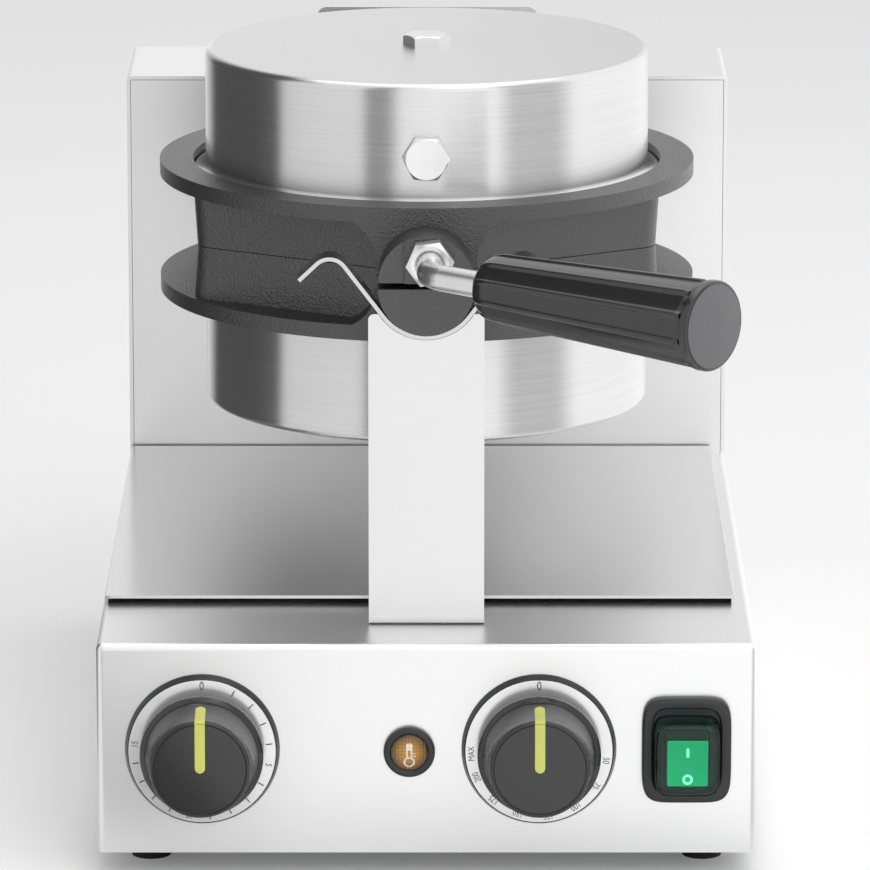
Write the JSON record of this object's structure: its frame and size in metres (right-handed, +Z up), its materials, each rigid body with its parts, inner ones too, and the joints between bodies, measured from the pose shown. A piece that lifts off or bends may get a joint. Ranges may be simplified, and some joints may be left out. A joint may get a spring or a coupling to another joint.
{
  "type": "bubble waffle maker",
  "caption": "Countertop bubble waffle maker: two hinged hexagonal plates under steel drums turn over on a steel stand by a side handle, with timer, thermostat, lamp and switch.",
  "frame": {"origin": "middle of the whole part's footprint, on the plane the rubber feet stand on", "axes": "+X to the right seen from the control panel, +Y from the control panel to the back, +Z up"},
  "size_m": [0.25, 0.4988, 0.2995],
  "materials": {
    "stainless_sheet": "satin brushed stainless sheet",
    "tray_steel": "bright rolled stainless sheet",
    "drum_steel": "brushed stainless, lines round the drum",
    "spring_steel": "polished spring steel strip",
    "cast_alloy": "matte black coating on a sand-cast surface",
    "nonstick_plate": "satin black non-stick coating",
    "bright_steel": "bright plated steel",
    "machined_steel": "turned steel",
    "zinc_sheet": "plain zinc-coated sheet",
    "bronze_bush": "oiled sintered bronze",
    "fibre_pad": "matte mineral fibre",
    "scale_metal": "satin anodised with dark marks",
    "knob_plastic": "satin black moulding",
    "pointer_plastic": "yellow-green inlay",
    "unit_plastic": "dark moulded housing",
    "frame_plastic": "black moulding",
    "amber_lens": "ribbed amber lens",
    "green_rocker": "green translucent moulding",
    "clear_cover": "clear soft splash cover",
    "grip_bakelite": "glossy black phenolic moulding",
    "cap_plastic": "dark grey satin disc",
    "foot_rubber": "matte black rubber"
  },
  "bodies": {
    "base": {"base_shell": "stainless_sheet", "column_shell": "stainless_sheet", "column_front": "stainless_sheet", "rear_cover": "stainless_sheet", "rear_screws": "bright_steel", "cord_gland": "frame_plastic", "bottom_plate": "zinc_sheet", "foot_front_left": "foot_rubber", "foot_front_right": "foot_rubber", "foot_rear_left": "foot_rubber", "foot_rear_right": "foot_rubber", "front_support": "stainless_sheet", "support_screws": "bright_steel", "cradle_liner": "spring_steel", "lid_stop": "stainless_sheet", "stop_screws": "bright_steel", "bearing_housing": "machined_steel", "bearing_bush": "bronze_bush", "timer_scale_ring": "scale_metal", "thermostat_scale_ring": "scale_metal", "timer_unit": "unit_plastic", "thermostat_unit": "unit_plastic", "lamp_bezel": "frame_plastic", "lamp_lens": "amber_lens", "switch_frame": "frame_plastic", "switch_cover": "clear_cover"},
    "lower_half": {"lower_carrier": "cast_alloy", "lower_bubble_plate": "nonstick_plate", "lower_heater": "machined_steel", "lower_clamp_plate": "zinc_sheet", "lower_insulation": "fibre_pad", "lower_drum": "drum_steel", "lower_centre_bolt": "bright_steel", "turning_shaft": "machined_steel", "shaft_collar": "machined_steel", "hinge_pin": "bright_steel"},
    "upper_half": {"upper_carrier": "cast_alloy", "upper_bubble_plate": "nonstick_plate", "upper_heater": "machined_steel", "upper_clamp_plate": "zinc_sheet", "upper_insulation": "fibre_pad", "upper_drum": "drum_steel", "upper_centre_bolt": "bright_steel", "upper_front_bolt": "bright_steel", "handle_rod": "bright_steel", "handle_nut": "bright_steel", "handle_grip": "grip_bakelite", "handle_cap": "cap_plastic"},
    "timer_dial": {"timer_knob": "knob_plastic", "timer_pointer": "pointer_plastic", "timer_spindle": "machined_steel"},
    "thermostat_dial": {"thermostat_knob": "knob_plastic", "thermostat_pointer": "pointer_plastic", "thermostat_spindle": "machined_steel"},
    "switch": {"switch_rocker": "green_rocker"},
    "tray": {"drip_tray": "tray_steel"}
  },
  "joints": [
    {"name": "head_flip", "type": "hinge", "parent": "base", "child": "lower_half", "pos_m": [0, 0.00219, 0.225], "axis": [0, 1, 0], "range_deg": [-180, 0]},
    {"name": "lid_open", "type": "hinge", "parent": "lower_half", "child": "upper_half", "pos_m": [0, 0.12019, 0.231], "axis": [-1, 0, 0], "range_deg": [0, 88]},
    {"name": "timer_turn", "type": "hinge", "parent": "base", "child": "timer_dial", "pos_m": [-0.085, -0.14781, 0.051], "axis": [0, 1, 0], "range_deg": [0, 277]},
    {"name": "thermostat_turn", "type": "hinge", "parent": "base", "child": "thermostat_dial", "pos_m": [0.0427, -0.14781, 0.051], "axis": [0, 1, 0], "range_deg": [0, 268]},
    {"name": "switch_tilt", "type": "hinge", "parent": "base", "child": "switch", "pos_m": [0.0987, -0.14781, 0.0501], "axis": [1, 0, 0], "range_deg": [-14, 0]},
    {"name": "tray_slide", "type": "slide", "parent": "base", "child": "tray", "axis": [1, 0, 0], "range_m": [0, 0.25]}
  ]
}
